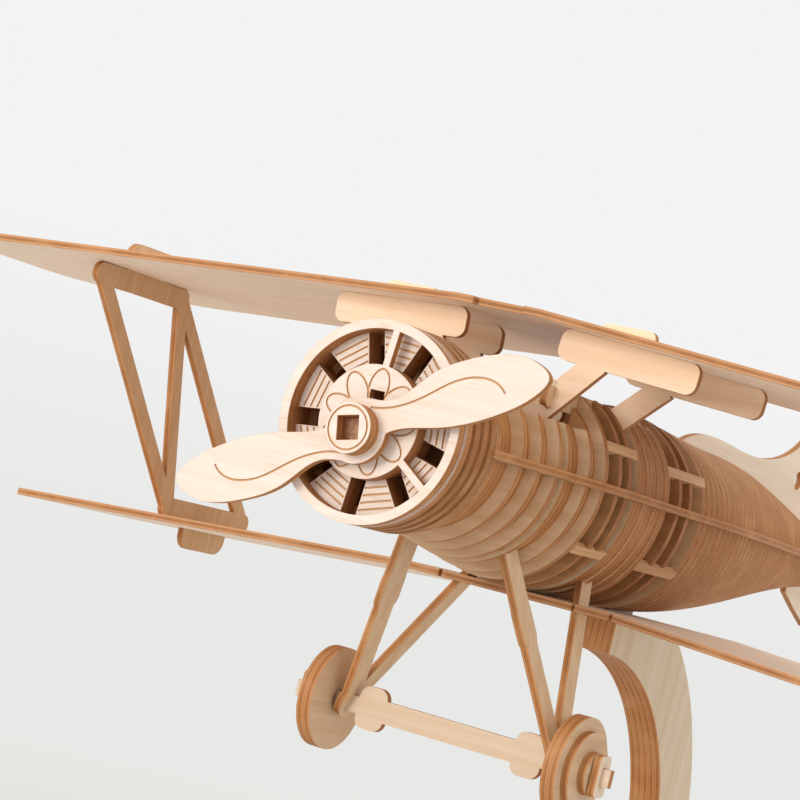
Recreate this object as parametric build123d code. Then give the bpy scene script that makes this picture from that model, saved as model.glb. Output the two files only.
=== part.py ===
from build123d import *
import os
from math import atan2, cos, degrees, pi, radians, sin, sqrt, tan

# A laser-cut plywood biplane kit on its display stand.
# Every piece is drawn in the aeroplane's own frame: X towards its left wing tip, Y from the front
# face of the cowl (0) back to the tail, Z up from the cowl's axis (0).
# keep() then moves the model so that its origin is under the middle of the stand's base.

# ---- sheet stock and fits (mm) -------------------------------------------------------------------
ply = 1.5              # thickness of every sheet
slot_fit = 0.05        # gap on each side of a tab in its slot
running_fit = 0.06     # radial gap of a turning part in its bore
end_play = 0.2         # gap between a turning part's face and its neighbour
engrave_depth = 0.2    # depth of a burnt line
engrave_width = 0.34   # width of a burnt line

# ---- cowl and engine -----------------------------------------------------------------------------
cowl_radius = 18.5
cowl_groove = 0.55       # how far every other ring is set back
ring_width = 1.75        # width of the front ring's face
crankcase_radius = 10.3
petal_length = 7.2       # the engraved covers on the crankcase
petal_width = 4.3
cylinder_count = 9
cylinder_gap = 3.2       # width of the window between two cylinders
cylinder_plies = 3
spoke_count = 3
spoke_width = 1.35
engine_angle = 86.0      # where the first cylinder, cover and spoke stand
cylinder_depth_plies = 2   # the cylinders lie this far behind the cowl's face
cowl_plies = 9
shaft_drop = 2.1         # the shaft runs this far below the cowl's axis
shaft_size = 4.3         # side of the square shaft
shaft_angle = 12.4       # turn of the shaft's flats at rest

# ---- propeller -----------------------------------------------------------------------------------
blade_length = 38.2
propeller_angle = 25.2   # turn of the blades at rest
hub_radius = 6.0
washer_radius = 4.6

# ---- fuselage ------------------------------------------------------------------------------------
nose_full_plies = [2, 8, 12, 16, 18, 23, 27]   # plies of the nose stack cut to the full outline
nose_plies = 28
filler_inset = 2.0       # how far the plies between them are set back
front_bay_plies = [3, 6]       # single ring-shaped formers of the front window bay
bay_rim = 4.6                  # width of such a former's rim
bay_post_half_width = 3.5      # half width of the post in its middle
front_bay = 9                  # the front bay's length, in plies
middle_full_plies = [0, 4, 8, 11]
middle_plies = 12
rear_bay_plies = [4, 8]
rear_bay = 13
tail_blocks = 14
tail_block_plies = 6
stack_inset = 0.5        # every other ply behind the nose is set back this far
deck_z = 9.5             # flat deck that the cabane stands on
deck_start = 27.0
well_start = 52.0        # the cockpit's open well
well_end = 87.0
well_half_width = 12.0
longeron_width = 5.0
longeron_proud = 1.7     # how far the longeron stands out of the formers
keel_top = 4.6           # the keel beam threads the formers
keel_bottom = -5.4
keel_tail_top = 2.6
keel_tail_bottom = -2.6
stringer_width = 2.0
stringer_angle_up = 24.0       # where the window stringers lie on the formers, up from level
stringer_angle_down = 34.0

# ---- wings and their struts ----------------------------------------------------------------------
wing_droop = 0.063       # fall of the outer panels per millimetre of span
upper_half_span = 138.0
upper_wing_y = 35.2      # leading edge
upper_wing_z = 27.5      # underside at the middle
upper_chord = 72.0
upper_flat = 9.0         # half width of the flat middle
recess_half_width = 5.5
recess_depth = 1.5
lower_half_span = 124.0
lower_wing_y = 66.6
lower_wing_z = -24.5
lower_chord = 63.0
lower_flat = 23.5
strut_x = 100.0
strut_bar = 4.4
strut_leg = 3.3          # width of a strut's three legs
strut_tab_proud = 4.6    # how far a strut's tabs stand out of the wings

# ---- cabane, between the fuselage and the upper wing ------------------------------------------------
cabane_front_y = 43.5
cabane_bar_start = 10.4
cabane_bar_end = 40.0
cabane_bar_height = 6.0
cabane_rear_shift = 4.0  # the rear plates stand further out
cabane_leg_width = 5.0
cabane_tab_width = 11.3
cabane_tab_centre = 24.0
tab_proud = 1.7          # how far a tab stands out of the wing

# ---- landing gear ----------------------------------------------------------------------------------
gear_top_x = 10.0
gear_top_z = -17.0
gear_splay = 19.9        # lean of each leg plate out of the vertical
axle_y = 58.5
axle_z = -53.0
wheel_radius = 10.3
wheel_gap = 0.35         # between the leg's foot and the wheel
tongue_width = 3.4       # the axle plate's end that carries the wheel

# ---- stand -----------------------------------------------------------------------------------------
axis_height = 130.0      # cowl's axis above the table
stand_y = 124.0          # middle of the base
arm_cheek_plies = 2
arm_overreach = 14.75    # how much larger the arm's circle is than half the height it spans
arm_lowering = 6.75      # the circle's centre lies this far below the middle of that height
arm_width = 15.5
arm_centre_y = 110.0
arm_top_front = 112.0
base_length = 112.0
base_width = 66.0
base_lip = 4.0           # the upper base plate is this much smaller all round


# ---- helpers -----------------------------------------------------------------------------------------
def sheet_x(outline, x, thickness=ply):
    """A sheet across X, drawn in (y, z), from x towards +X."""
    plane = Plane(origin=(x, 0, 0), x_dir=(0, 1, 0), z_dir=(1, 0, 0))
    return extrude(plane * outline, amount=thickness)


def sheet_y(outline, y, thickness=ply):
    """A sheet across Y, drawn in (x, z), from y towards the tail."""
    plane = Plane(origin=(0, y, 0), x_dir=(1, 0, 0), z_dir=(0, -1, 0))
    return extrude(plane * outline, amount=-thickness)


def sheet_z(outline, z, thickness=ply):
    """A flat sheet, drawn in (x, y), from z upwards."""
    return extrude(Plane.XY.offset(z) * outline, amount=thickness)


def bar(start, end, width, rounded=True):
    """A straight bar between two points, with round or square ends."""
    run = Vector(*end) - Vector(*start)
    middle = (Vector(*start) + Vector(*end)) * 0.5
    shape = SlotCenterToCenter(run.length, width) if rounded else Rectangle(run.length, width)
    return Pos(middle.X, middle.Y) * Rot(0, 0, degrees(atan2(run.Y, run.X))) * shape


def polygon(*points):
    """A closed straight-sided outline."""
    return make_face(Polyline(*points, close=True))


def block(x0, x1, y0, y1, z0, z1):
    """A block between two corners."""
    return Pos((x0 + x1) / 2, (y0 + y1) / 2, (z0 + z1) / 2) * Box(x1 - x0, y1 - y0, z1 - z0)


def annulus(outer, inner):
    return Circle(outer) - Circle(inner)


def burnt_line(path):
    """The narrow band that the laser burns along a line."""
    return trace(path, line_width=engrave_width)


def mirrored(shape):
    """The same piece on the other side of the aeroplane."""
    return mirror(shape, about=Plane.YZ)


parts = {}


def keep(name, *solids):
    """Files a node: one solid, or several that stay separate."""
    shapes = [s for shape in solids for s in shape.solids()]
    moved = [Pos(0, -stand_y, axis_height) * s for s in shapes]
    parts[name] = moved[0] if len(moved) == 1 else Compound(children=moved)


def keep_pair(name, solid):
    """The same piece on both sides: +X is the aeroplane's left."""
    keep(name + "_left", solid)
    keep(name + "_right", mirrored(solid))


# ---- cowl and engine -----------------------------------------------------------------------------
cylinder_pitch = 360 / cylinder_count
shaft_centre = Pos(0, -shaft_drop)
shaft_corner = shaft_size / sqrt(2)
bearing_bore = Circle(shaft_corner + running_fit)
shaft_hole = Rot(0, 0, shaft_angle) * Rectangle(shaft_size + 2 * slot_fit, shaft_size + 2 * slot_fit)


oil_slot = Pos(0.4, 4.9) * Rectangle(3.0, 1.6)


def cowl_ring_radius(index):
    return cowl_radius - (cowl_groove if index % 2 else 0)


def petal_line():
    """The burnt outline of one of the crankcase's covers: a narrow oval ring."""
    oval = Ellipse(petal_length / 2, petal_width / 2)
    inside = Ellipse(petal_length / 2 - engrave_width, petal_width / 2 - engrave_width)
    return Pos(crankcase_radius - petal_length / 2 - 0.5, 0) * (oval - inside)


def cowl_front_plate():
    spokes = [
        Rot(0, 0, engine_angle + k * 360 / spoke_count)
        * Pos(cowl_radius / 2 + 2, 0) * Rectangle(cowl_radius - ring_width, spoke_width)
        for k in range(spoke_count)
    ]
    face = annulus(cowl_radius, cowl_radius - ring_width) + Circle(crankcase_radius)
    for spoke in spokes:
        face += spoke
    face -= shaft_centre * bearing_bore
    face -= oil_slot
    plate = sheet_y(face & Circle(cowl_radius), 0)
    petals = [Rot(0, 0, engine_angle + k * cylinder_pitch) * petal_line() for k in range(cylinder_count)]
    return plate - sheet_y(Sketch() + petals, 0, engrave_depth)


def cylinder_plate(index, engraved):
    radius = cowl_ring_radius(index)
    y = index * ply
    window_start = crankcase_radius - 0.9
    window_end = cowl_radius - ring_width + 0.1
    face = Circle(radius) - shaft_centre * bearing_bore - oil_slot
    window = Pos((window_start + window_end) / 2, 0) * Rectangle(window_end - window_start, cylinder_gap)
    for k in range(cylinder_count):
        face -= Rot(0, 0, engine_angle + (k + 0.5) * cylinder_pitch) * window
    plate = sheet_y(face, y)
    if engraved:
        fins = []
        for k in range(cylinder_count):
            turn = Rot(0, 0, engine_angle + k * cylinder_pitch)
            for rib in range(4):
                reach = 11.4 + 1.3 * rib
                half = pi * reach / cylinder_count - cylinder_gap / 2 - 0.15
                fins.append(burnt_line(turn * Line((reach, -half), (reach, half))))
        plate -= sheet_y(Sketch() + fins, y, engrave_depth)
    return plate


def cowl_ring(index):
    inner = cowl_radius - ring_width - (0 if index < cylinder_depth_plies else 1.5)
    return sheet_y(annulus(cowl_ring_radius(index), inner), index * ply)


def crankcase_disc(index):
    return sheet_y(Circle(crankcase_radius) - shaft_centre * bearing_bore - oil_slot, index * ply)


keep("cowl_front_plate", cowl_front_plate())
keep("cowl_ring_1", cowl_ring(1), crankcase_disc(1))
first_cylinder_ply = cylinder_depth_plies
for index, name in enumerate(["front", "middle", "rear"], start=first_cylinder_ply):
    keep(f"cylinder_plate_{name}", cylinder_plate(index, engraved=index == first_cylinder_ply))
first_rear_ring = first_cylinder_ply + cylinder_plies
for index in range(first_rear_ring, cowl_plies - 1):
    keep(f"cowl_ring_{index - first_rear_ring + 2}", cowl_ring(index))
cowl_depth = cowl_plies * ply
firewall = Circle(cowl_ring_radius(cowl_plies - 1)) - shaft_centre * bearing_bore
keep("firewall", sheet_y(firewall, cowl_depth - ply))

# ---- propeller, its washers and the square shaft -------------------------------------------------
spacer_y = -end_play - ply
propeller_y = spacer_y - ply
washer_back_y = propeller_y - ply
washer_front_y = washer_back_y - ply
retainer_y = first_rear_ring * ply + end_play
shaft_end_y = cowl_depth - end_play


def blade_side():
    """One blade and its root, drawn along +x; the other is the same, turned half round."""
    lead = [(0, hub_radius), (3.2, 4.9), (8.0, 3.6), (16.2, 6.1), (24.0, 6.9), (31.0, 6.0),
            (36.4, 3.1), (blade_length, -0.2)]
    trail = [(35.2, -2.5), (29.0, -3.9), (22.5, -4.2), (15.0, -3.3), (8.0, -1.9), (4.4, -2.6),
             (2.2, -5.0), (0, -hub_radius)]
    edge = Spline(*lead, *trail)
    return make_face([edge, Line((0, -hub_radius), (0, hub_radius))])


def blade_mark():
    """The S-shaped line burnt along a blade."""
    return Spline((3.5, 3.3), (8.0, 2.2), (14.0, 2.5), (20.5, 3.7), (25.0, 3.3), (28.6, 1.2), (29.6, -0.8))


def propeller():
    face = blade_side() + Rot(0, 0, 180) * blade_side() + Circle(hub_radius)
    face = Rot(0, 0, propeller_angle) * face - shaft_hole
    marks = [burnt_line(Rot(0, 0, propeller_angle + turn) * blade_mark()) for turn in (0, 180)]
    plate = sheet_y(shaft_centre * face, propeller_y)
    return plate - sheet_y(shaft_centre * (Sketch() + marks), propeller_y, engrave_depth)


def washer(radius):
    return shaft_centre * (Circle(radius) - shaft_hole)


keep("propeller", propeller())
keep("propeller_spacer", sheet_y(washer(washer_radius), spacer_y))
keep("washer_back", sheet_y(washer(washer_radius), washer_back_y))
burnt_circle = annulus(washer_radius - 0.5, washer_radius - 0.5 - engrave_width)
keep("washer_front", sheet_y(washer(washer_radius), washer_front_y)
     - sheet_y(shaft_centre * burnt_circle, washer_front_y, engrave_depth))
shaft_face = Rot(0, 0, shaft_angle) * Rectangle(shaft_size, shaft_size)
keep("propeller_shaft", sheet_y(shaft_centre * shaft_face, propeller_y, shaft_end_y - propeller_y))
keep("shaft_retainer", sheet_y(washer(washer_radius + 1.4), retainer_y))


# ---- fuselage: formers threaded on a keel beam, with a longeron let into each side ----------------
def along(y, stations):
    """Value at y on a smooth line through (y, value) stations."""
    for (y0, v0), (y1, v1) in zip(stations, stations[1:]):
        if y <= y1:
            t = max(0.0, (y - y0) / (y1 - y0))
            return v0 + (v1 - v0) * (3 - 2 * t) * t * t
    return stations[-1][1]


nose_end_y = cowl_depth + nose_plies * ply
middle_y = nose_end_y + front_bay * ply
rear_bay_y = middle_y + middle_plies * ply
tail_y = rear_bay_y + rear_bay * ply
tail_end_y = tail_y + tail_blocks * tail_block_plies * ply
wing_seat = -lower_wing_z - ply
half_widths = [(cowl_depth, 17.2), (60, 21.4), (110, 19.0), (tail_end_y, 4.2)]
tops = [(cowl_depth, 16.6), (60, 19.5), (140, 15.6), (tail_end_y, 5.4)]
bottoms = [(cowl_depth, 17.6), (lower_wing_y, wing_seat), (tail_y, wing_seat), (tail_end_y, 6.4)]


def section(y, inset=0.0):
    """The fuselage's outline at y: half ellipses above and below the axis."""
    width, top, bottom = (along(y, line) - inset for line in (half_widths, tops, bottoms))
    upper = Ellipse(width, top) & Pos(0, top) * Rectangle(3 * width, 2 * top)
    lower = Ellipse(width, bottom) & Pos(0, -bottom) * Rectangle(3 * width, 2 * bottom)
    return upper + lower


def keel_line(y, front, tail):
    """The keel beam's edge tapers from the cowl to the tail."""
    return front + (tail - front) * (y - cowl_depth) / (tail_end_y - cowl_depth)


def longeron_edge(y, outward):
    return along(y, half_widths) + outward


stringer_rows = [(stringer_angle_up, 1), (stringer_angle_up, -1),
                 (-stringer_angle_down, 1), (-stringer_angle_down, -1)]


def rim_point(y, angle, side):
    """The point of the fuselage's outline at an angle up from level, and the outline's reach there."""
    half = along(y, half_widths)
    height = along(y, tops if angle > 0 else bottoms)
    a = radians(angle)
    return Vector(side * half * cos(a), height * sin(a))


def stringer(y0, y1, angle, side, grown=0.0, open_out=0.0):
    """A short strip let into the formers' rims across an open bay; its notch is open to the outside."""
    p = (rim_point(y0, angle, side) + rim_point(y1, angle, side)) * 0.5
    tilt = degrees(atan2(p.Y, p.X))
    face = Rectangle(ply + 2 * grown + open_out, stringer_width + 2 * grown)
    spot = Pos(p.X, p.Y) * Rot(0, 0, tilt) * Pos((open_out - ply) / 2 + 0.2, 0)
    return sheet_y(spot * face, y0, y1 - y0)


def longeron():
    """A side rail, let into the formers and standing proud of them."""
    ys = [cowl_depth + (tail_end_y - cowl_depth) * k / 24 for k in range(25)]
    outer = [(longeron_edge(y, longeron_proud), y) for y in ys]
    inner = [(longeron_edge(y, longeron_proud - longeron_width), y) for y in reversed(ys)]
    return sheet_z(make_face([Spline(*outer), Line(outer[-1], inner[0]), Spline(*inner),
                              Line(inner[-1], outer[0])]), -ply / 2)


def longeron_notches(y, thickness):
    """The notches that a former's two sides have for the longerons."""
    depth = min(longeron_edge(y, 0), longeron_edge(y + thickness, 0)) - longeron_width + longeron_proud
    reach = 40.0
    right = block(depth - slot_fit, reach, y - 1, y + thickness + 1,
                  -ply / 2 - slot_fit, ply / 2 + slot_fit)
    return [right, mirrored(right)]


def keel_beam():
    """The beam in the middle that every former is threaded on."""
    y0, y1 = cowl_depth + 0.9, tail_end_y
    return sheet_x(polygon(
        (y0, keel_line(y0, keel_top, keel_tail_top)), (y1, keel_tail_top),
        (y1, keel_tail_bottom), (y0, keel_line(y0, keel_bottom, keel_tail_bottom))), -ply / 2)


def keel_slot(y, thickness):
    top = keel_line(y, keel_top, keel_tail_top) + slot_fit
    bottom = keel_line(y, keel_bottom, keel_tail_bottom) - slot_fit
    half = ply / 2 + slot_fit
    return block(-half, half, y - 1, y + thickness + 1, bottom, top)


def former(y, inset=0.0, thickness=ply, hollow=False):
    """One former, with the keel beam's slot and the longerons' notches."""
    face = section(y + thickness / 2, inset)
    if hollow:
        post = Rectangle(2 * bay_post_half_width, 60)
        face -= section(y + thickness / 2, inset + bay_rim) - post
    plate = sheet_y(face, y, thickness)
    plate -= keel_slot(y, thickness)
    for notch in longeron_notches(y, thickness):
        plate -= notch
    return plate


bay_stringers = []
for y0, y1 in ((nose_end_y, middle_y), (rear_bay_y, tail_y)):
    for angle, side in stringer_rows:
        bay_stringers.append((y0, y1, angle, side))
stringer_cuts = [stringer(*row, grown=slot_fit, open_out=3.0) for row in bay_stringers]


# ---- landing gear outline, needed early because its heads pass between the formers ------------------
splay = radians(gear_splay)


def gear_plane(offset=0.0):
    """The leaning plane of the left leg plate; offset moves it outwards."""
    origin = (gear_top_x + offset * cos(splay), 0, gear_top_z + offset * sin(splay))
    return Plane(origin=origin, x_dir=(0, 1, 0), z_dir=(cos(splay), 0, sin(splay)))


def gear_point(y, z):
    """A point of the leg plate, from its real y and z to the plate's own (y, up)."""
    return (y, (z - gear_top_z) / cos(splay))


leg_foot = gear_point(axle_y, axle_z)
front_leg_head = gear_point(42.0, -13.0)
front_leg_knee = gear_point(47.5, -27.0)
knuckle_end = gear_point(49.3, -31.0)
rear_leg_head = gear_point(77.5, -17.0)


def gear_outline(grown=0.0):
    face = bar(front_leg_head, front_leg_knee, 5.4 + 2 * grown)
    face += bar(front_leg_knee, leg_foot, 4.6 + 2 * grown)
    face += bar(rear_leg_head, leg_foot, 4.0 + 2 * grown)
    face += bar(front_leg_knee, knuckle_end, 5.8 + 2 * grown)
    face += Pos(*leg_foot) * Circle(3.4 + grown)
    return face


def gear_solid(grown=0.0):
    start = gear_plane(-grown)
    return extrude(start * gear_outline(grown), amount=ply + 2 * grown)


gear_cut = gear_solid(slot_fit)
gear_cuts = [gear_cut, mirrored(gear_cut)]


# ---- cabane plates ---------------------------------------------------------------------------------
def wing_underside(x, z, flat):
    """Height of a wing's underside at x: flat in the middle, then falling to the tips."""
    return z - wing_droop * max(0.0, abs(x) - flat)


def cabane_outline(shift, grown=0.0):
    half = cabane_bar_height / 2
    x0, x1 = cabane_bar_start + shift + half, cabane_bar_end + shift - half
    top0 = wing_underside(x0, upper_wing_z, upper_flat) - slot_fit
    top1 = wing_underside(x1, upper_wing_z, upper_flat) - slot_fit
    slope = degrees(atan2(top1 - top0, x1 - x0))
    rail = RectangleRounded(x1 - x0 + 2 * half, cabane_bar_height, 2.0)
    face = Pos((x0 + x1) / 2, (top0 + top1) / 2 - half) * Rot(0, 0, slope) * rail
    leg_top = (x0 + 5.8, top0 - cabane_bar_height + 1.0)
    leg_foot_point = (4.6 + shift / 2, 5.6)
    face += bar(leg_top, leg_foot_point, cabane_leg_width + 2 * grown, rounded=False)
    middle = cabane_tab_centre + shift
    tab_top = wing_underside(middle, upper_wing_z, upper_flat) + ply + tab_proud
    face += Pos(middle, tab_top - cabane_bar_height / 2) * RectangleRounded(
        cabane_tab_width, cabane_bar_height, 1.4)
    return face


cabane_front_cut = sheet_y(cabane_outline(0, slot_fit), cabane_front_y - slot_fit, ply + 2 * slot_fit)
cabane_cuts = [cabane_front_cut, mirrored(cabane_front_cut)]


cabane_rear_y = nose_end_y + (front_bay_plies[-1] + 1) * ply     # against the bay's last former
deck_cut = block(-40, 40, deck_start, well_start, deck_z, 40)
well_cut = block(-well_half_width, well_half_width, deck_start, well_end, deck_z, 40)
shell_cuts = stringer_cuts + gear_cuts + cabane_cuts + [deck_cut, well_cut]


def trimmed(solid, y0, y1):
    """A former with room for whatever passes through it between y0 and y1."""
    for cut in shell_cuts:
        reach = cut.bounding_box()
        if reach.min.Y < y1 and reach.max.Y > y0:
            solid -= cut
    return solid


def full_former(first_y, k, hollow=False):
    y = first_y + k * ply
    return trimmed(former(y, hollow=hollow), y, y + ply)


def stack(first_y, count, full_plies, inset):
    """A run of glued plies: (full formers, the narrower blocks between them)."""
    edges = [-1] + full_plies + [count]
    fillers = []
    for before, after in zip(edges, edges[1:]):
        if after - before > 1:
            y = first_y + (before + 1) * ply
            thickness = (after - before - 1) * ply
            fillers.append(trimmed(former(y, inset, thickness), y, y + thickness))
    return [full_former(first_y, k) for k in full_plies], fillers


nose_formers, nose_fillers = stack(cowl_depth, nose_plies, nose_full_plies, filler_inset)
for number, shape in enumerate(nose_formers, start=1):
    keep(f"nose_former_{number}", shape)
keep("nose_fillers", *nose_fillers)
keep("front_bay_formers", *[full_former(nose_end_y, k, hollow=True) for k in front_bay_plies])
middle_formers, middle_fillers = stack(middle_y, middle_plies, middle_full_plies, stack_inset)
keep("middle_stack", *middle_formers, *middle_fillers)
keep("rear_bay_formers", *[full_former(rear_bay_y, k, hollow=True) for k in rear_bay_plies])
keep("window_stringers", *[stringer(*row) for row in bay_stringers])
keep_pair("longeron", longeron())
keep("keel_beam", keel_beam())


# ---- tail: blocks of glued plies, with the fin, tailplane and skid let into them -------------------
fin_start_y = 124.0
fin_root_depth = 2.6
tailplane_y = 197.5
tailplane_z = 5.4
tailplane_half_span = 44.0
tailplane_chord = 36.0
fin_height = 43.0
fin_tail_y = tailplane_y + tailplane_chord + 4.0
skid_y = (206.0, 216.0)
skid_root_z = -4.2
tongue_y = (arm_top_front + 1.0, arm_top_front + 13.0)
tongue_top_z = -17.5


def fin_root():
    """The fin's buried lower edge, parallel to the back of the fuselage."""
    ys = [fin_start_y + (tailplane_y - fin_start_y) * k / 5 for k in range(6)]
    return [(y, along(y, tops) - fin_root_depth) for y in ys]


def groove(points, up):
    """A slot cut in the tail's back or belly for a plate in the middle plane."""
    lift = -slot_fit if up else slot_fit
    far = 60 if up else -60
    edge = [(y, z + lift) for y, z in points]
    edge[0] = (edge[0][0] - slot_fit, edge[0][1])
    edge[-1] = (edge[-1][0] + slot_fit, edge[-1][1])
    face = polygon(*edge, (edge[-1][0], far), (edge[0][0], far))
    return sheet_x(face, -ply / 2 - slot_fit, ply + 2 * slot_fit)


tail_cuts = [
    groove(fin_root(), up=True),
    groove([(skid_y[0], skid_root_z), (skid_y[1], skid_root_z)], up=False),
    groove([(tongue_y[0], tongue_top_z), (tongue_y[1], tongue_top_z)], up=False),
    block(-30, 30, tailplane_y - slot_fit, tail_end_y + 5, tailplane_z, 40),
]


def tail_block(number):
    first_y = tail_y + number * tail_block_plies * ply
    solid = former(first_y)
    for k in range(1, tail_block_plies):
        solid += former(first_y + k * ply, stack_inset * (k % 2))
    for cut in stringer_cuts + tail_cuts:
        reach = cut.bounding_box()
        if reach.min.Y < first_y + tail_block_plies * ply and reach.max.Y > first_y:
            solid -= cut
    return solid


keep("tail_stack", *[tail_block(number) for number in range(tail_blocks)])


def fin():
    """Fin and rudder in one plate, with a round lightening hole."""
    root = fin_root()
    base_z = tailplane_z + ply
    front = Spline(root[0], (fin_start_y + 4, along(fin_start_y, tops)), (161, 18.6), (194, 25.0),
                   (208, 37.5), (221, fin_height), (233, fin_height - 7), (fin_tail_y, 24.0),
                   (fin_tail_y - 1.5, base_z))
    lower = Polyline((fin_tail_y - 1.5, base_z), (tailplane_y, base_z), *reversed(root))
    face = make_face([front, lower]) - Pos(197, 16.7) * Circle(2.2)
    plate = sheet_x(face, -ply / 2)
    hinge = burnt_line(Line((214, base_z + 1), (219, fin_height - 2.5)))
    marks = sheet_x(hinge, ply / 2 - engrave_depth, engrave_depth)
    return plate - marks - mirrored(marks)


def tailplane():
    """Tailplane and elevator in one plate."""
    y0, y1 = tailplane_y, tailplane_y + tailplane_chord
    half = tailplane_half_span
    edge = Spline((0, y0), (half * 0.45, y0 + 2.5), (half * 0.9, y0 + 12), (half, y0 + 20),
                  (half * 0.93, y1 - 5), (half * 0.6, y1), tangents=[(1, 0), (-1, 0)])
    face = make_face([edge, Polyline((half * 0.6, y1), (7, y1), (5, y1 - 6), (0, y1 - 6), (0, y0))])
    face += mirror(face, about=Plane.YZ)
    plate = sheet_z(face, tailplane_z)
    hinge = burnt_line(Line((-half + 2, y0 + 21), (half - 2, y0 + 21)))
    return plate - sheet_z(hinge, tailplane_z + ply - engrave_depth, engrave_depth)


def tail_skid():
    y0, y1 = skid_y
    return sheet_x(polygon((y0, skid_root_z), (y1, skid_root_z), (y1, -8.0), (y1 + 9, -14.5),
                           (y1 + 7, -16.5), (y1 - 2, -13.0), (y0, -9.5)), -ply / 2)


keep("fin", fin())
keep("tailplane", tailplane())
keep("tail_skid", tail_skid())


# ---- cabane plates and the ties between them -------------------------------------------------------
cabane_front = sheet_y(cabane_outline(0), cabane_front_y)
cabane_rear = sheet_y(cabane_outline(cabane_rear_shift), cabane_rear_y)
tie_z = (12.0, 16.0)
tie_x = well_half_width - ply - 0.1


def cabane_tie():
    """The short plate between a front and a rear cabane leg, hooked over both."""
    y0, y1 = cabane_front_y, cabane_rear_y + ply
    low, high = tie_z
    face = RectangleRounded(y1 - y0 + 5, high - low, 1.2)
    face = Pos((y0 + y1) / 2, (low + high) / 2) * face
    hook = (low + high) / 2
    for y in (cabane_front_y, cabane_rear_y):
        face -= Pos(y + ply / 2, low) * Rectangle(ply + 2 * slot_fit, 2 * (hook - low))
    return sheet_x(face, tie_x)


def tie_slot(y):
    """The upward-open half of the joint, in a cabane plate."""
    hook = sum(tie_z) / 2
    return block(tie_x - slot_fit, tie_x + ply + slot_fit, y - 1, y + ply + 1,
                 hook - slot_fit, tie_z[1] + 1.0)


keep_pair("cabane_front", cabane_front - tie_slot(cabane_front_y))
keep_pair("cabane_rear", cabane_rear - tie_slot(cabane_rear_y))
keep_pair("cabane_tie", cabane_tie())


# ---- wings: flat sheets whose outer panels droop ---------------------------------------------------
def drooped(plan, z, flat, half_span):
    """A sheet of the plan's outline, bent down outside its flat middle."""
    tip = half_span + 5
    tip_z = wing_underside(tip, z, flat)
    low = [(-tip, tip_z), (-flat, z), (flat, z), (tip, tip_z)]
    high = [(x, height + ply) for x, height in reversed(low)]
    return sheet_y(polygon(*low, *high), 0, 200) & sheet_z(plan, z - 20, 40)


def wing_plan(y, chord, half_span, front_corner, rear_corner):
    """A straight wing with rounded tips, the rear corner rounder than the front one."""
    half = Rectangle(half_span, chord, align=(Align.MIN, Align.MIN))
    corners = half.vertices().filter_by_position(Axis.X, half_span - 0.1, half_span + 0.1)
    half = fillet([corners.sort_by(Axis.Y)[0]], front_corner)
    corner = half.vertices().sort_by(Axis.Y)[-2:].sort_by(Axis.X)[-1]
    half = Pos(0, y) * fillet([corner], rear_corner)
    return half + mirror(half, about=Plane.YZ)


def tab_hole(x, y0, y1, z, height=8.0):
    """A slot through a wing for a plate that stands across X (a strut) at x."""
    hole = block(x - slot_fit, x + ply + slot_fit, y0 - slot_fit, y1 + slot_fit,
                 z - height / 2, z + height / 2)
    return [hole, mirrored(hole)]


strut_tab_width = 17.0
upper_tab_y = 63.0            # middle of the tab through the upper wing
lower_tab_y = 108.0
upper_strut_top = wing_underside(strut_x + ply, upper_wing_z, upper_flat)
lower_strut_bottom = wing_underside(strut_x, lower_wing_z, lower_flat) + ply


def upper_wing():
    plan = wing_plan(upper_wing_y, upper_chord, upper_half_span, 16.0, 30.0)
    plan -= Pos(0, upper_wing_y) * Rectangle(2 * recess_half_width, 2 * recess_depth)
    plan -= Pos(0, upper_wing_y + upper_chord + 10) * Circle(19.0)
    wing = drooped(plan, upper_wing_z, upper_flat, upper_half_span)
    half = cabane_tab_width / 2 + slot_fit
    for y, shift in ((cabane_front_y, 0), (cabane_rear_y, cabane_rear_shift)):
        x = cabane_tab_centre + shift
        slot = block(x - half, x + half, y - slot_fit, y + ply + slot_fit, upper_wing_z - 6, upper_wing_z + 6)
        wing = wing - slot - mirrored(slot)
    tab = strut_tab_width / 2
    for hole in tab_hole(strut_x, upper_tab_y - tab, upper_tab_y + tab, upper_strut_top):
        wing -= hole
    return wing


def lower_wing():
    plan = wing_plan(lower_wing_y, lower_chord, lower_half_span, 2.5, 26.0)
    wing = drooped(plan, lower_wing_z, lower_flat, lower_half_span)
    tab = strut_tab_width / 2
    for hole in tab_hole(strut_x, lower_tab_y - tab, lower_tab_y + tab, lower_strut_bottom):
        wing -= hole
    for cut in gear_cuts:
        wing -= cut
    for x in (15.2, 23.5):
        for side in (-1, 1):
            wing -= block(side * x - 0.4, side * x + 0.4, lower_wing_y - 1, lower_wing_y + 1.2, -30, -20)
    half = ply / 2 + slot_fit
    y0, y1 = tongue_y
    return wing - block(-half, half, y0 - slot_fit, y1 + slot_fit, -30, -20)


keep("upper_wing", upper_wing())
keep("lower_wing", lower_wing())


# ---- interplane struts: an N in one plate on each side ---------------------------------------------
def interplane_strut():
    top = upper_strut_top - strut_bar / 2 - 0.05
    bottom = lower_strut_bottom + strut_bar / 2 + 0.05
    top_front, top_rear = (47.0, top), (77.0, top)
    bottom_front, bottom_rear = (91.5, bottom), (122.5, bottom)
    face = bar(top_front, top_rear, strut_bar) + bar(bottom_front, bottom_rear, strut_bar)
    face += bar(top_front, bottom_front, strut_leg)
    face += bar(top_rear, bottom_front, strut_leg)
    face += bar(top_rear, bottom_rear, strut_leg)
    reach = strut_bar / 2 + ply + strut_tab_proud
    tab = RectangleRounded(strut_tab_width, 2 * reach, 3.4) & Pos(0, reach) * Rectangle(60, 2 * reach)
    face += Pos(upper_tab_y, top) * tab
    face += Pos(lower_tab_y, bottom) * Rot(0, 0, 180) * tab
    return sheet_x(face, strut_x)


keep_pair("interplane_strut", interplane_strut())


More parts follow.
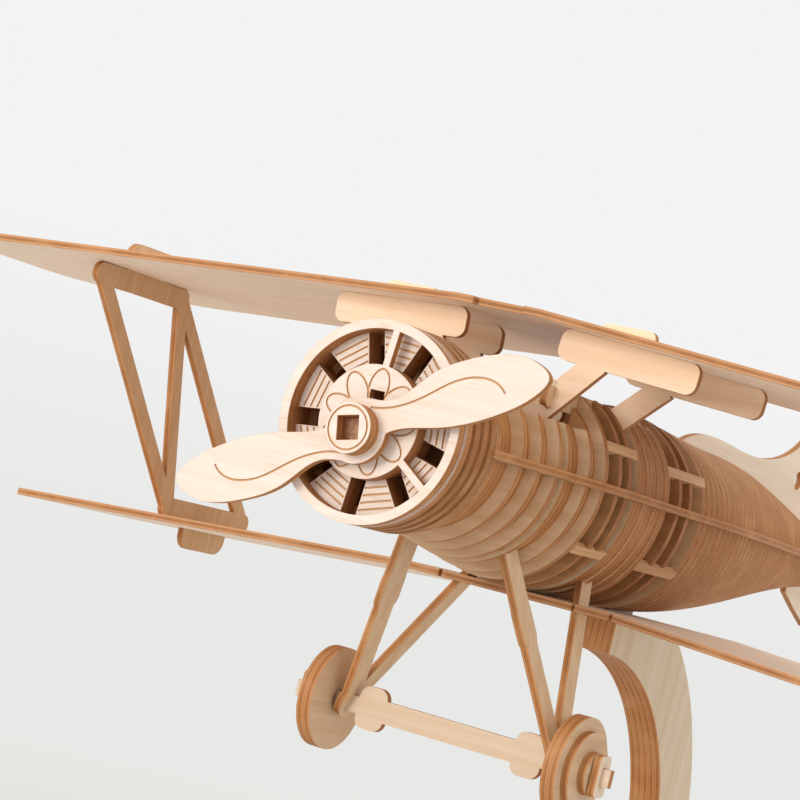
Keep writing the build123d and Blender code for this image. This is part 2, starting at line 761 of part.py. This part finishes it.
# ---- landing gear ----------------------------------------------------------------------------------
tongue_half = tongue_width / 2
leg_inner_x = gear_top_x + (gear_top_z - axle_z) * tan(splay)
leg_outer_x = leg_inner_x + ply / cos(splay)
foot_reach_x = leg_outer_x + 3.4 * sin(splay)
wheel_x = foot_reach_x + wheel_gap
wheel_plies = 4
key_x = wheel_x + wheel_plies * ply + end_play
axle_end_x = key_x + ply + 1.8
tongue_cut = block(5, axle_end_x + 1, axle_y - ply / 2 - slot_fit, axle_y + ply / 2 + slot_fit,
                   axle_z - tongue_half - slot_fit, axle_z + tongue_half + slot_fit)
keep_pair("gear_leg", gear_solid() - tongue_cut)


def axle_plate():
    """A flat bar with bone-shaped heads inside the legs; its ends run on as the wheels' tongues."""
    head_x = leg_inner_x - 5.2
    face = Pos(0, axle_z) * Rectangle(2 * head_x, 4.4)
    for side in (-1, 1):
        face += Pos(side * head_x, axle_z) * RectangleRounded(6.4, 8.6, 2.2)
    face += Pos(0, axle_z) * Rectangle(2 * axle_end_x, tongue_width)
    return sheet_y(face, axle_y - ply / 2)


def wheel_ply(radius, index):
    """One disc of a wheel; the tongue's corners run in its round hole."""
    corner = sqrt(tongue_half ** 2 + (ply / 2) ** 2)
    face = Pos(axle_y, axle_z) * annulus(radius, corner + running_fit)
    return sheet_x(face, wheel_x + index * ply)


keep("axle_plate", axle_plate())
keep_pair("wheel_tyre", Compound(children=[wheel_ply(wheel_radius, 0), wheel_ply(wheel_radius, 1)]))
discs = [wheel_ply(wheel_radius - 2.5, 2), wheel_ply(4.2, 3)]
keep_pair("wheel_discs", Compound(children=discs))
key = sheet_x(Pos(axle_y, axle_z) * RectangleRounded(4.6, 8.0, 1.0), key_x) - tongue_cut
keep_pair("axle_key", key)


# ---- cockpit ---------------------------------------------------------------------------------------
board_y = well_start + 0.3
board = Pos(0, deck_z + 4.2) * RectangleRounded(2 * (tie_x - 0.4), 8.4, 2.0)
keep("instrument_board", sheet_y(board, board_y))


# ---- stand: a crescent arm of five plies on a two-ply base -----------------------------------------
base_top_z = -axis_height + 2 * ply
arm_outer_radius = (lower_wing_z - base_top_z) / 2 + arm_overreach
arm_centre_z = (lower_wing_z + base_top_z) / 2 - arm_lowering
base_plate = Pos(0, stand_y) * Ellipse(base_width / 2, base_length / 2)
upper_base = Pos(0, stand_y) * Ellipse(base_width / 2 - base_lip, base_length / 2 - base_lip)
foot_y0 = arm_centre_y + sqrt((arm_outer_radius - arm_width) ** 2 - (base_top_z - arm_centre_z) ** 2)
foot_y1 = arm_centre_y + sqrt(arm_outer_radius ** 2 - (base_top_z - arm_centre_z) ** 2)
foot_tab = (foot_y0 + 4.0, foot_y1 - 4.0)


def arm_outline():
    """The part of a crescent between the base and the lower wing's underside."""
    crescent = Pos(arm_centre_y, arm_centre_z) * annulus(arm_outer_radius, arm_outer_radius - arm_width)
    height = lower_wing_z - base_top_z
    window = Pos(arm_top_front, base_top_z) * Rectangle(90, height, align=(Align.MIN, Align.MIN))
    return crescent & window


def arm_core():
    face = arm_outline()
    y0, y1 = tongue_y
    face += Pos((y0 + y1) / 2, lower_wing_z - 1) * Rectangle(y1 - y0, 2)
    face += Pos(y0, lower_wing_z) * Rectangle(
        y1 - y0, tongue_top_z - lower_wing_z - slot_fit, align=(Align.MIN, Align.MIN))
    y0, y1 = foot_tab
    face += Pos(y0, base_top_z - ply) * Rectangle(y1 - y0, ply + 1, align=(Align.MIN, Align.MIN))
    return sheet_x(face, -ply / 2)


def arm_cheek(side):
    """The plies glued to one side of the core; they stand on the base and carry the wing."""
    return [sheet_x(arm_outline(), side * (ply / 2 + k * ply) - (ply if side < 0 else 0))
            for k in range(arm_cheek_plies)]


base_slot = block(-ply / 2 - slot_fit, ply / 2 + slot_fit, foot_tab[0] - slot_fit, foot_tab[1] + slot_fit,
                  base_top_z - ply - 1, base_top_z + 1)
keep("stand_base_lower", sheet_z(base_plate, -axis_height))
keep("stand_base_upper", sheet_z(upper_base, -axis_height + ply) - base_slot)
keep("stand_arm_core", arm_core())
keep("stand_arm_cheek_left", *arm_cheek(1))
keep("stand_arm_cheek_right", *arm_cheek(-1))

os.makedirs("parts", exist_ok=True)
for name, shape in parts.items():
    export_step(shape, f"parts/{name}.step")
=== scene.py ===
# %% [markdown]
# # A laser-cut plywood biplane on its stand
#
# Every piece of this model comes out of one thin sheet of birch plywood, so the whole look rests on
# one idea. A sheet has pale **faces** with fine grain, and burnt **edges** where the laser went
# through the plies. This lesson builds that one material step by step, tells it which way each sheet
# stands, and then lights the model in a white tent.
#
# The shapes are already there: they are loaded as a fixed frame, and nothing below moves them.

# %% Load the frame
import math

import bpy
from mathutils import Matrix, Vector


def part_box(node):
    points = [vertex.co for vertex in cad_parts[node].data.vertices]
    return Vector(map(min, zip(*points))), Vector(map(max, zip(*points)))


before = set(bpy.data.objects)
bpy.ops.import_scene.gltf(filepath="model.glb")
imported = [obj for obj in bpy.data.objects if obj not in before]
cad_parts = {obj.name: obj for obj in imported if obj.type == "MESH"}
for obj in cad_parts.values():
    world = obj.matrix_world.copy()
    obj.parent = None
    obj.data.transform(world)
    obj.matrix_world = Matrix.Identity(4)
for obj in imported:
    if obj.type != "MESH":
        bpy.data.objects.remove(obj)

scene = bpy.context.scene
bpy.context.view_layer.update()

# %% [markdown]
# Blender counts in metres here, and a sheet is only 1.5 mm thick, so one name for a millimetre keeps
# the numbers readable. Colours are written the way a screen shows them. Light is added up on a linear
# scale, so one function turns every screen colour into linear values.

# %% Millimetres and colours
mm = 0.001
sheet = 1.5 * mm


def colour(hex_code):
    """A screen colour such as "f3e3cb", as linear red, green, blue and alpha."""
    values = [int(hex_code[k:k + 2], 16) / 255 for k in (0, 2, 4)]
    return tuple(v / 12.92 if v <= 0.04045 else ((v + 0.055) / 1.055) ** 2.4 for v in values) + (1.0,)


print("pale birch is", [round(v, 3) for v in colour("efdcc0")[:3]], "in linear light")

# %% [markdown]
# A shader is a chain of small nodes. They could be written out one by one, but then the wiring hides
# the idea. One helper adds any node: its kind, its settings, and what goes into its sockets. A socket
# takes a plain value, an output, or an earlier node, which then gives its first live output.
# Sockets that a setting switches off are skipped, so a colour mix simply has "Factor", "A" and "B".

# %% One helper for every shader node
def add(tree, kind, inputs=None, **settings):
    node = tree.nodes.new("ShaderNode" + kind)
    for name, value in settings.items():
        setattr(node, name, value)
    live = [socket for socket in node.inputs if socket.enabled]
    for key, value in (inputs or {}).items():
        socket = live[key] if isinstance(key, int) else next(s for s in live if s.name == key)
        if isinstance(value, bpy.types.Node):
            value = next(output for output in value.outputs if output.enabled)
        if isinstance(value, bpy.types.NodeSocket):
            tree.links.new(value, socket)
        else:
            socket.default_value = value
    return node


def new_material(name):
    """An empty material and its node tree."""
    material = bpy.data.materials.new(name)
    material.use_nodes = True
    material.node_tree.nodes.clear()
    return material, material.node_tree


print("the node helper is ready")

# %% [markdown]
# ## Birch plywood, cut by a laser
#
# The sheet is three thin birch veneers, sanded on both faces and cut through by a laser. The eye
# knows it by its edge: brown with two dark glue lines, where the face stays pale. A picture of
# plywood wrapped round each piece would need unwrapping, and its lines would not meet the corners.
# Working from the place of each point is simpler: how far does it lie **through** the sheet?
#
# That distance is the point measured along the sheet's normal, `across`, counted from where a sheet
# starts. The fraction left over after whole sheets runs from 0 at one face to 1 at the other, and a
# stack of sheets gets its layers all at once. A bent sheet slopes down outside its flat middle, so
# the slope is added back first.

# %% How far through the sheet
def layer_in_sheet(tree, point, across, start, bend=None):
    """From 0 at one face of a sheet to 1 at its other face."""
    through = add(tree, "VectorMath", {0: point, 1: across}, operation="DOT_PRODUCT")
    if bend:
        flat_half_width, slope = bend
        sideways = add(tree, "SeparateXYZ", {0: point})
        distance = add(tree, "Math", {0: sideways}, operation="ABSOLUTE")
        past_flat = add(tree, "Math", {0: distance, 1: flat_half_width}, operation="SUBTRACT")
        bent = add(tree, "Math", {0: past_flat, 1: 0.0}, operation="MAXIMUM")
        drop = add(tree, "Math", {0: bent, 1: slope}, operation="MULTIPLY")
        through = add(tree, "Math", {0: through, 1: drop}, operation="ADD")
    from_start = add(tree, "Math", {0: through, 1: start}, operation="SUBTRACT")
    sheets = add(tree, "Math", {0: from_start, 1: sheet}, operation="DIVIDE")
    return add(tree, "Math", {0: sheets}, operation="FRACT")


print("each veneer is", round(sheet / 3 / mm, 2), "mm thick")

# %% [markdown]
# ### The face
#
# Rotary-cut birch is pale, with broad soft streaks, short darker pores and slow clouds of warmth.
# All three are noise, and the first two are drawn out along the grain. A wave pattern would give
# rings that are too regular for birch. Real pores are near 0.1 mm wide, too fine to show, so they are
# drawn about four times as wide.

# %% Grain sizes and fibres
streak_width, streak_length = 2.38 * mm, 71.4 * mm
pore_width, pore_length = 0.3846 * mm, 6.25 * mm
cloud_size = 35.7 * mm


def wood_fibres(tree, point, along, width, length, detail, roughness=0.5):
    """Noise in fibres of one width, drawn out along one axis."""
    scales = tuple(1 / (length if k == along else width) for k in range(3))
    drawn_out = add(tree, "VectorMath", {0: point, 1: scales}, operation="MULTIPLY")
    return add(tree, "TexNoise", {
        "Vector": drawn_out, "Scale": 1.0, "Detail": detail, "Roughness": roughness})


print("streaks", round(streak_width / mm, 2), "mm wide, pores", round(pore_width / mm, 2), "mm")

# %% [markdown]
# The streaks choose between a pale and a warm tone, the pores add a darker fleck, and the clouds pull
# the whole face a little towards the warm tone.

# %% The face of the sheet
def birch_face(tree, point, streaks, along, pale, warm):
    pores = wood_fibres(tree, point, along, pore_width, pore_length, detail=2.0)
    clouds = add(tree, "TexNoise", {"Vector": point, "Scale": 1 / cloud_size, "Detail": 2.0})
    late_wood = add(tree, "MapRange", {"Value": streaks, "From Min": 0.35, "From Max": 0.72})
    fleck = add(tree, "MapRange", {"Value": pores, "From Min": 0.62, "From Max": 0.74, "To Max": 0.35})
    warmth = add(tree, "Math", {0: clouds, 1: 0.25}, operation="MULTIPLY")
    tone = add(tree, "Mix", {"Factor": late_wood, "A": colour(pale), "B": colour(warm)},
               data_type="RGBA")
    tone = add(tree, "Mix", {"Factor": fleck, "A": tone, "B": colour("c39f7a")}, data_type="RGBA")
    return add(tree, "Mix", {"Factor": warmth, "A": tone, "B": colour(warm)}, data_type="RGBA")


print("clouds of warmth every", round(cloud_size / mm), "mm")

# %% [markdown]
# ### Engraved lines
#
# The petals, ribs and scrolls are cut only part of the way down by a weaker beam. The groove is in
# the shape already, so it needs no second pattern. Its floor faces the same way as the sheet, but it
# lies inside it: a face that is away from both faces of the sheet is a groove's floor, and takes a
# toasted tone.

# %% The floor of an engraved line
face_share = 0.06


def engraved_floor(tree, layer, face_tone):
    past_one_face = add(tree, "Math", {0: layer, 1: face_share}, operation="GREATER_THAN")
    before_other = add(tree, "Math", {0: layer, 1: 1 - face_share}, operation="LESS_THAN")
    inside = add(tree, "Math", {0: past_one_face, 1: before_other}, operation="MULTIPLY")
    return add(tree, "Mix", {"Factor": inside, "A": face_tone, "B": colour("cf9e6c")},
               data_type="RGBA")


print("an engraved floor lies more than", round(face_share * sheet / mm, 2), "mm down")

# %% [markdown]
# ### The edge
#
# A laser leaves an edge of brown char, thin enough to show the three veneers with a dark glue line at
# each joint, and darkest at the faces where the beam went in and out. A colour ramp over the layer
# draws that stack. On top, the beam's pulses leave fine stripes through the sheet, and the smoke
# leaves soft light and dark patches. Real pulses are nearer 0.1 mm apart: they are drawn wider.

# %% The burnt edge
pulse_gap, pulse_length = 0.6667 * mm, 6.667 * mm
scorch_size = 7.69 * mm
char, glue_above, glue_below = "562f14", "6e3f1d", "6a3c1b"
core_light, core_dark = "9d6535", "986031"


def burnt_edge(tree, point, across, layer, burnt):
    veneers = add(tree, "ValToRGB", {0: layer})
    ramp = veneers.color_ramp
    stops = [(0.0, char), (0.09, burnt), (0.30, burnt), (0.35, glue_above), (0.41, core_light),
             (0.60, core_dark), (0.65, glue_below), (0.71, burnt), (0.91, burnt)]
    while len(ramp.elements) < len(stops):
        ramp.elements.new(0.5)
    for element, (position, tone) in zip(ramp.elements, stops):
        element.position = position
        element.color = colour(tone)
    # fine along the edge, long through the sheet, whichever way the sheet stands
    scales = tuple(1 / pulse_gap + abs(v) * (1 / pulse_length - 1 / pulse_gap) for v in across)
    drawn_out = add(tree, "VectorMath", {0: point, 1: scales}, operation="MULTIPLY")
    pulses = add(tree, "TexNoise", {"Vector": drawn_out, "Scale": 1.0, "Detail": 3.0})
    scorch = add(tree, "TexNoise", {"Vector": point, "Scale": 1 / scorch_size, "Detail": 3.0})
    stripe = add(tree, "Math", {0: pulses, 1: 0.3}, operation="MULTIPLY")
    patch = add(tree, "MapRange", {"Value": scorch, "From Min": 0.45, "From Max": 0.7, "To Max": 0.4})
    tone = add(tree, "Mix", {"Factor": stripe, "A": veneers, "B": colour("c78e5b")}, data_type="RGBA")
    return add(tree, "Mix", {"Factor": patch, "A": tone, "B": colour("cf9c6c")}, data_type="RGBA")


print("pulses every", round(pulse_gap / mm, 2), "mm, scorched patches", round(scorch_size / mm, 1), "mm")

# %% [markdown]
# ### The toasted rim
#
# Heat also browns a hair of the face along every cut. Painting it would need the outline of each
# piece. The Bevel node finds it for nothing: it reads the normal as if the corner were rounded, and
# where that leans away from the true normal, the cut is near.

# %% The toasted rim
def toasted_rim(tree, rim, face_tone):
    rounded = add(tree, "Bevel", {"Radius": rim}, samples=4)
    true_normal = add(tree, "NewGeometry").outputs["True Normal"]
    agree = add(tree, "VectorMath", {0: rounded, 1: true_normal}, operation="DOT_PRODUCT")
    toast = add(tree, "MapRange", {
        "Value": agree, "From Min": 0.995, "From Max": 0.80, "To Max": 0.75})
    return add(tree, "Mix", {"Factor": toast, "A": face_tone, "B": colour("b07a48")},
               data_type="RGBA")


print("the toasted rim is for the propeller and the cowl's front")

# %% [markdown]
# ### Put together
#
# The surface's own normal chooses between face and edge. Birch ply is bare and sanded, so it is
# rough, and its gloss is weaker than the usual 0.5 of a closed, polished surface. A bump as thin as a
# hair follows the streaks and breaks up the light.

# %% Plywood
face_agreement = 0.93
sanded_roughness, dry_gloss = 0.62, 0.28
grain_relief = 0.06 * mm


def plywood(name, across, start, along, pale="efdfcc", warm="e2cab0", burnt="b67c4a",
            rim=0.0, bend=None):
    material, tree = new_material(name)
    place = add(tree, "TexCoord")
    point, normal = place.outputs["Object"], place.outputs["Normal"]
    layer = layer_in_sheet(tree, point, across, start, bend)
    facing = add(tree, "VectorMath", {0: normal, 1: across}, operation="DOT_PRODUCT")
    either_way = add(tree, "Math", {0: facing}, operation="ABSOLUTE")
    is_face = add(tree, "Math", {0: either_way, 1: face_agreement}, operation="GREATER_THAN")

    streaks = wood_fibres(tree, point, along, streak_width, streak_length, detail=5.0, roughness=0.62)
    face = birch_face(tree, point, streaks, along, pale, warm)
    face = engraved_floor(tree, layer, face)
    if rim:
        face = toasted_rim(tree, rim, face)
    edge = burnt_edge(tree, point, across, layer, burnt)
    tone = add(tree, "Mix", {"Factor": is_face, "A": edge, "B": face}, data_type="RGBA")

    relief = add(tree, "Bump", {"Height": streaks, "Strength": 0.25, "Distance": grain_relief})
    surface = add(tree, "BsdfPrincipled", {
        "Base Color": tone, "Roughness": sanded_roughness, "Specular IOR Level": dry_gloss,
        "Normal": relief})
    add(tree, "OutputMaterial", {"Surface": surface})
    return material


print("a face may lean", round(math.degrees(math.acos(face_agreement))), "degrees from its sheet")

# %% [markdown]
# ## Which way each sheet lies
#
# Formers, cowl rings and the propeller stand across the fuselage. Wings and rails lie flat. Struts,
# fin and the stand's arm stand along it. One normal for each family of sheets is enough, together
# with the place where one of its sheets starts, which is read from the piece itself.

# %% Directions, and pieces by name
X, Y, Z = (1.0, 0.0, 0.0), (0.0, 1.0, 0.0), (0.0, 0.0, 1.0)
spanwise, lengthwise, upright = 0, 1, 2


def both(*names):
    """The left and the right one of each piece."""
    return [f"{name}_{side}" for name in names for side in ("left", "right")]


def give(material, names):
    """Every named piece takes this one finish."""
    for name in names:
        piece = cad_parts[name]
        piece.data.materials.clear()
        piece.data.materials.append(material)


formers = [f"nose_former_{k}" for k in range(1, 8)] + ["nose_fillers", "middle_stack"]
bay_formers = ["front_bay_formers", "rear_bay_formers"]
engine = ["cowl_front_plate", "cylinder_plate_front"]
cowl = ["cylinder_plate_middle", "cylinder_plate_rear", "cowl_ring_1", "cowl_ring_2", "cowl_ring_3",
        "cowl_ring_4", "firewall"]
propeller_set = ["propeller", "propeller_spacer", "washer_back", "washer_front", "shaft_retainer"]
arm = ["stand_arm_core"] + both("stand_arm_cheek")
print(len(formers + bay_formers + engine + cowl + propeller_set), "pieces stand across the fuselage")

# %% [markdown]
# ### Shades of one ply
#
# All the sheets are the same birch, but they are given different shades. The blades and the cowl's front
# were wiped clean and are almost white. The ply deep in the engine and in the window bays is painted
# darker and browner: painted shade. The cabane plates under the upper wing are painted paler and
# warmer: painted bounce light. Each shade is a pale and a warm tone, and two of them have an edge tone
# as well.

# %% Shades
clean = {"rim": 0.16 * mm, "pale": "e8d9ce", "warm": "dec8b5"}
# painted light: paler, warmer faces for the cabane plates in the wing's shade, standing in for bounce
# light
painted_bounce_light = {"pale": "f6dcc0", "warm": "ebc7a2"}
toasted = {"pale": "dfc09c", "warm": "cda67c"}
# painted shade: darker, browner faces and edges for the ply deep in the cowl and the window bays
painted_deep_shade = {"pale": "b4865a", "warm": "98693f", "burnt": "9c6336"}
greyed = {"pale": "d8c3ad", "warm": "cbb091"}
arm_shade = {"pale": "dccbb4", "warm": "cdb796"}
strut_shade = {"pale": "dcb892", "warm": "c99f74"}
wheel_shade = {"pale": "dcc0a0", "warm": "c9a680"}
leg_shade = {"pale": "dfc3a2", "warm": "cfac84"}
wing_shade = {"pale": "f6e3d0", "warm": "ecd2b8", "burnt": "bf8a5f"}
plain = {}
print("the toasted rim is", round(clean["rim"] / mm, 2), "mm wide")

# %% [markdown]
# ### The table of sheets
#
# One line for each family: the finish, its pieces, the sheet's normal and grain, and the shade. Left
# and right get materials of their own where their sheets start at different places.

# %% Finishes for the flat sheets
families = [
    ("clean engraved birch ply", engine, Y, spanwise, clean),
    ("clean birch blade ply", propeller_set, Y, spanwise, clean),
    # the cowl's inner plates and the bay formers take painted shade
    ("shade-painted ply inside the cowl", cowl, Y, spanwise, painted_deep_shade),
    ("toasted former ply", formers, Y, spanwise, toasted),
    ("shade-painted ply in the window bays", bay_formers, Y, spanwise, painted_deep_shade),
    ("toasted tail ply", ["tail_stack"], Y, spanwise, toasted),
    # the cabane plates take painted bounce light
    ("cabane ply, front", both("cabane_front"), Y, spanwise, painted_bounce_light),
    ("cabane ply, rear", both("cabane_rear"), Y, spanwise, painted_bounce_light),
    ("axle ply", ["axle_plate"], Y, spanwise, greyed),
    ("cockpit ply", ["instrument_board"], Y, spanwise, plain),
    ("rail ply", both("longeron"), Z, lengthwise, toasted),
    ("beam and fin ply", ["keel_beam", "fin", "tail_skid"], X, lengthwise, plain),
    ("tailplane ply", ["tailplane"], Z, spanwise, plain),
    ("stand foot ply", ["stand_base_lower", "stand_base_upper"], Z, lengthwise, plain),
    ("stand arm ply", arm, X, upright, arm_shade),
]
for side in ("left", "right"):
    families += [
        (f"strut ply, {side}", [f"interplane_strut_{side}"], X, upright, strut_shade),
        (f"tie ply, {side}", [f"cabane_tie_{side}"], X, lengthwise, toasted),
        (f"wheel ply, {side}", [f"wheel_tyre_{side}", f"wheel_discs_{side}"], X, lengthwise,
         wheel_shade),
        (f"key ply, {side}", [f"axle_key_{side}"], X, upright, plain),
    ]
for finish, names, across, along, shade in families:
    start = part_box(names[0])[0][across.index(1.0)]
    give(plywood(finish, across, start, along, **shade), names)
print(len(families), "families of sheets,", sum(len(names) for _, names, *_ in families), "pieces")

# %% [markdown]
# ### The two wings
#
# Each wing is one flat sheet, bent down a little outside a flat middle. Its layers follow the bend,
# so the material gets the slope and where it begins. The wings are the palest large faces, and their
# thin edges are toasted less than the small pieces.

# %% Wings
engine_height = 130.0 * mm
wing_slope = 0.063
wings = {
    # how wide the flat middle is to each side, and the underside's height over the engine's axis
    "upper_wing": (9.0 * mm, 27.5 * mm),
    "lower_wing": (23.5 * mm, -24.5 * mm),
}
for wing, (flat_half_width, underside) in wings.items():
    finish = plywood(f"{wing.replace('_', ' ')} birch ply", Z, engine_height + underside, spanwise,
                     bend=(flat_half_width, wing_slope), **wing_shade)
    give(finish, [wing])
    print(wing, "has its underside at", round((engine_height + underside) / mm, 1), "mm")

# %% [markdown]
# ### The leaning gear legs
#
# The legs are flat too, but they lean outward, so their normal is neither X nor Z. It is worked out
# from the lean, and the layers start at the inner face, where a leg meets the fuselage.

# %% Gear legs
leg_lean = math.radians(19.9)
leg_foot_out, leg_foot_down = 10.0 * mm, 17.0 * mm
leg_start = leg_foot_out * math.cos(leg_lean) + (engine_height - leg_foot_down) * math.sin(leg_lean)
for side, way in (("left", 1.0), ("right", -1.0)):
    across = (way * math.cos(leg_lean), 0.0, math.sin(leg_lean))
    give(plywood(f"gear leg ply, {side}", across, leg_start, upright, **leg_shade),
         [f"gear_leg_{side}"])
print("the legs lean", round(math.degrees(leg_lean), 1), "degrees")

# %% [markdown]
# ### Window strips and the square shaft
#
# The strips across the window bays are so narrow that they show hardly any layers: to the eye they
# are plain toasted sticks. The shaft is a planed hardwood stick, redder and darker than birch. Both
# need only grain one way, so they get a smaller material, as rough and dry as the ply.

# %% Strips and shaft
fibre_width, fibre_length = 1.111 * mm, 33.3 * mm


def planed_wood(name, light, dark):
    """Plain wood with its grain nose to tail."""
    material, tree = new_material(name)
    point = add(tree, "TexCoord").outputs["Object"]
    fibres = wood_fibres(tree, point, lengthwise, fibre_width, fibre_length, detail=4.0)
    late_wood = add(tree, "MapRange", {"Value": fibres, "From Min": 0.35, "From Max": 0.68})
    tone = add(tree, "Mix", {"Factor": late_wood, "A": colour(light), "B": colour(dark)},
               data_type="RGBA")
    surface = add(tree, "BsdfPrincipled", {
        "Base Color": tone, "Roughness": 0.6, "Specular IOR Level": 0.3})
    add(tree, "OutputMaterial", {"Surface": surface})
    return material


give(planed_wood("toasted window strip", "dcb48a", "bd8f63"), ["window_stringers"])
give(planed_wood("reddish shaft wood", "c79b78", "93603f"), ["propeller_shaft"])
bare = [name for name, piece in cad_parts.items() if not piece.data.materials]
print("pieces still without a finish:", bare)

# %% [markdown]
# ## A white tent
#
# A pale model is best shown in a white tent: the light comes from everywhere, and nothing dark is
# mirrored in it. A flat floor with a wall behind would leave a line at the horizon. One sheet that
# runs flat, curls up and goes on as a round wall has none, from any side. Its profile is worked out
# first and then turned about the stand.

# %% Floor and wall in one sheet
def tent_profile(radius, height, rings):
    """How far out and how high each ring is, from the middle of the floor to the wall's top."""
    floor_ends, wall_starts = 0.4, 0.8
    floor_reach, curl = radius * 0.55, radius * 0.45
    profile = []
    for k in range(rings + 1):
        share = k / rings
        if share < floor_ends:
            profile.append((floor_reach * share / floor_ends, 0.0))
        elif share < wall_starts:
            turn = (share - floor_ends) / (wall_starts - floor_ends) * math.pi / 2
            profile.append((floor_reach + curl * math.sin(turn), curl * (1 - math.cos(turn))))
        else:
            climb = (share - wall_starts) / (1 - wall_starts)
            profile.append((radius, curl + (height - curl) * climb))
    return profile


def tent(radius=4.0, height=5.0, rings=48, spokes=96):
    points = [(0.0, 0.0, 0.0)]
    for reach, level in tent_profile(radius, height, rings)[1:]:
        for k in range(spokes):
            angle = 2 * math.pi * k / spokes
            points.append((reach * math.cos(angle), reach * math.sin(angle), level))
    faces = [(0, 1 + k, 1 + (k + 1) % spokes) for k in range(spokes)]
    for ring in range(rings - 1):
        for k in range(spokes):
            a, b = 1 + ring * spokes + k, 1 + ring * spokes + (k + 1) % spokes
            faces.append((a, a + spokes, b + spokes, b))
    mesh = bpy.data.meshes.new("tent")
    mesh.from_pydata(points, [], faces)
    mesh.polygons.foreach_set("use_smooth", [True] * len(mesh.polygons))
    piece = bpy.data.objects.new("tent", mesh)
    scene.collection.objects.link(piece)
    return piece


floor = tent()
print("the tent is", round(floor.dimensions.x, 2), "m across")

# %% [markdown]
# ### Tent cloth
#
# Near the stand the cloth is matt cotton that takes the model's shadow. Further out it is lit from
# behind, so it glows evenly, a little brighter the higher it goes. The two are mixed by how far a
# point lies from the stand, and there is no line between them. The weave is drawn a millimetre wide,
# coarser than real cotton, so that it shows at all.

# %% Tent cloth
thread_gap = 1.111 * mm
glow_starts, glow_full, brightest_height = 0.16, 0.55, 0.4


def tent_cloth():
    material, tree = new_material("white tent cloth")
    point = add(tree, "TexCoord").outputs["Object"]
    reach = add(tree, "VectorMath", {0: point}, operation="LENGTH")
    glow = add(tree, "MapRange", {"Value": reach, "From Min": glow_starts, "From Max": glow_full},
               interpolation_type="SMOOTHSTEP")
    level = add(tree, "SeparateXYZ", {0: point}).outputs["Z"]
    rise = add(tree, "MapRange", {"Value": level, "From Max": brightest_height})
    threads = add(tree, "TexNoise", {"Vector": point, "Scale": 1 / thread_gap, "Detail": 2.0})
    thread_shade = add(tree, "Math", {0: threads, 1: 0.1}, operation="MULTIPLY")
    matt_tone = add(tree, "Mix", {"Factor": thread_shade, "A": colour("dededc"),
                                  "B": colour("d2d2d0")}, data_type="RGBA")
    lit_tone = add(tree, "Mix", {"Factor": rise, "A": colour("e8e8e6"), "B": colour("f3f3f3")},
                   data_type="RGBA")
    matt = add(tree, "BsdfPrincipled", {"Base Color": matt_tone, "Roughness": 0.9})
    lit = add(tree, "Emission", {"Color": lit_tone, "Strength": 1.0})
    cloth = add(tree, "MixShader", {0: glow, 1: matt, 2: lit})
    add(tree, "OutputMaterial", {"Surface": cloth})
    return material


floor.data.materials.append(tent_cloth())
print("the cloth glows fully from", glow_full, "m out")

# %% [markdown]
# ## Lamps and sky
#
# The tent alone would leave the wood flat. One larger lamp from the front left gives the cowl and the
# blades their direction, and a weaker one from the right opens the shadows. Both are wide discs,
# because a small lamp draws hard shadows that a tent never has. The sky lights the rest, a touch warm.

# %% Lamps and sky
def soft_lamp(name, place, width, power, tint="ffffff"):
    lamp = bpy.data.lights.new(name, "AREA")
    lamp.shape = "DISK"
    lamp.size = width
    lamp.energy = power
    lamp.color = colour(tint)[:3]
    piece = bpy.data.objects.new(name, lamp)
    scene.collection.objects.link(piece)
    piece.location = place
    piece.rotation_euler = (nose - Vector(place)).to_track_quat("-Z", "Y").to_euler()


nose = Vector((0.0, -0.05, 0.13))
warm_white = "fffaf4"
soft_lamp("key from the front left", (-0.35, -1.05, 0.28), 0.45, 5.6, warm_white)
soft_lamp("fill from the right", (0.9, -0.35, 0.45), 0.7, 0.8)

sky = bpy.data.worlds.new("white sky")
sky.use_nodes = True
sky.node_tree.nodes["Background"].inputs["Color"].default_value = colour(warm_white)
sky.node_tree.nodes["Background"].inputs["Strength"].default_value = 1.1
scene.world = sky
scene.view_settings.view_transform = "Standard"
print("two lamps and a", sky.name)

# %% [markdown]
# ## The camera
#
# The camera stands low, in front and a little to the model's left, and is tilted sideways so that the
# wings run downhill across the frame. A long lens keeps the wings nearly parallel. Its axes are built
# from three angles, which is easier to read than a rotation set by hand.

# %% Camera
turned, raised, rolled = (math.radians(v) for v in (30.61, -2.37, 14.29))
forward = Vector((-math.sin(turned) * math.cos(raised), math.cos(turned) * math.cos(raised),
                  -math.sin(raised)))
level_right = Vector((math.cos(turned), math.sin(turned), 0.0))
level_up = level_right.cross(forward)
right = math.cos(rolled) * level_right + math.sin(rolled) * level_up
up = -math.sin(rolled) * level_right + math.cos(rolled) * level_up
eye = Vector((255.52, -546.97, 114.57)) * mm

camera = bpy.data.cameras.new("camera")
camera.sensor_width = 36.0
camera.lens = 125.7975
camera.dof.use_dof = False
viewer = bpy.data.objects.new("camera", camera)
scene.collection.objects.link(viewer)
viewer.matrix_world = Matrix.Translation(eye) @ Matrix((right, up, -forward)).transposed().to_4x4()
scene.camera = viewer
print("the camera stands", round(eye.length, 3), "m from the stand")
